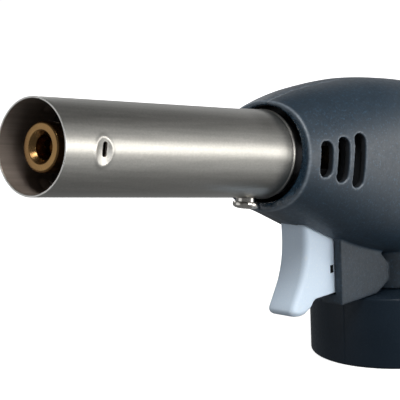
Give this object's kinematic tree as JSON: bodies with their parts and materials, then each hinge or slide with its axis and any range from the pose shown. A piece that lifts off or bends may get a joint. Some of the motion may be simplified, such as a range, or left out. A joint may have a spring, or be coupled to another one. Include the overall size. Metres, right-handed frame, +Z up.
{
  "type": "butane torch",
  "caption": "Cartridge torch head with a stainless burner tube, moulded pistol housing, piezo trigger, rear flame knob and round bayonet collar.",
  "frame": {"origin": "centre of the cartridge socket's mouth, on the collar's axis at its lower face", "axes": "+Z up along the collar's axis; the burner tube's mouth points towards -X and rises 9.4 degrees; +Y is the side with the housing screws"},
  "size_m": [0.1793, 0.0484, 0.0865],
  "materials": {
    "housing_plastic": "dark blue-grey moulded plastic with a fine eroded texture",
    "collar_plastic": "near-black moulded plastic with a fine eroded texture",
    "trigger_plastic": "pale grey-blue satin plastic",
    "zinc_steel": "bright zinc-plated steel",
    "stainless_tube": "lengthwise drawn and brushed stainless steel",
    "dark_steel": "heat-darkened steel",
    "brass": "machined brass",
    "burner_brass": "heat-toned machined brass",
    "sintered_bronze": "sintered bronze grain",
    "diecast_zinc": "die-cast zinc alloy, blackened",
    "seal_rubber": "black nitrile rubber",
    "lead_silicone": "black silicone insulation",
    "white_ceramic": "glazed white ceramic",
    "igniter_plastic": "black moulded plastic",
    "plunger_plastic": "natural acetal"
  },
  "bodies": {
    "housing": {"housing_right": "housing_plastic", "housing_left": "housing_plastic", "housing_screws": "zinc_steel", "base_collar": "collar_plastic", "bayonet_plate": "zinc_steel", "plate_screws": "zinc_steel", "inlet_nozzle": "brass", "inlet_seal": "seal_rubber", "valve_body": "brass", "spindle_seals": "seal_rubber", "gland_nut": "brass", "gas_jet": "brass", "jet_filter": "sintered_bronze", "tube_holder": "diecast_zinc", "mixing_tube": "brass", "burner_head": "burner_brass", "flame_disc": "dark_steel", "burner_tube": "stainless_tube", "tube_screw": "zinc_steel", "screw_washer": "zinc_steel", "electrode_rod": "zinc_steel", "electrode_insulator": "white_ceramic", "ignition_lead": "lead_silicone", "earth_strip": "brass", "piezo_body": "igniter_plastic", "trigger_spring": "zinc_steel"},
    "trigger": {"trigger": "trigger_plastic", "piezo_plunger": "plunger_plastic"},
    "knob": {"regulator_knob": "trigger_plastic", "knob_cap": "housing_plastic"},
    "spindle": {"valve_spindle": "zinc_steel"}
  },
  "joints": [
    {"name": "trigger_pull", "type": "slide", "parent": "housing", "child": "trigger", "axis": [1, 0, 0], "range_m": [0, 0.005], "stiffness_N_per_m": 400, "springref_m": -0.001, "deforming": ["trigger_spring"]},
    {"name": "knob_turn", "type": "hinge", "parent": "housing", "child": "knob", "pos_m": [0.03422, 0, 0.04784], "axis": [0.9866, 0, -0.1633], "range_deg": [0, 450]},
    {"name": "spindle_feed", "type": "slide", "parent": "knob", "child": "spindle", "axis": [0.9866, 0, -0.1633], "range_m": [0, 0.000937]}
  ],
  "couplings": [
    {"joint": "knob_turn", "follows": "spindle_feed", "rad_per_m": 8377.6}
  ]
}
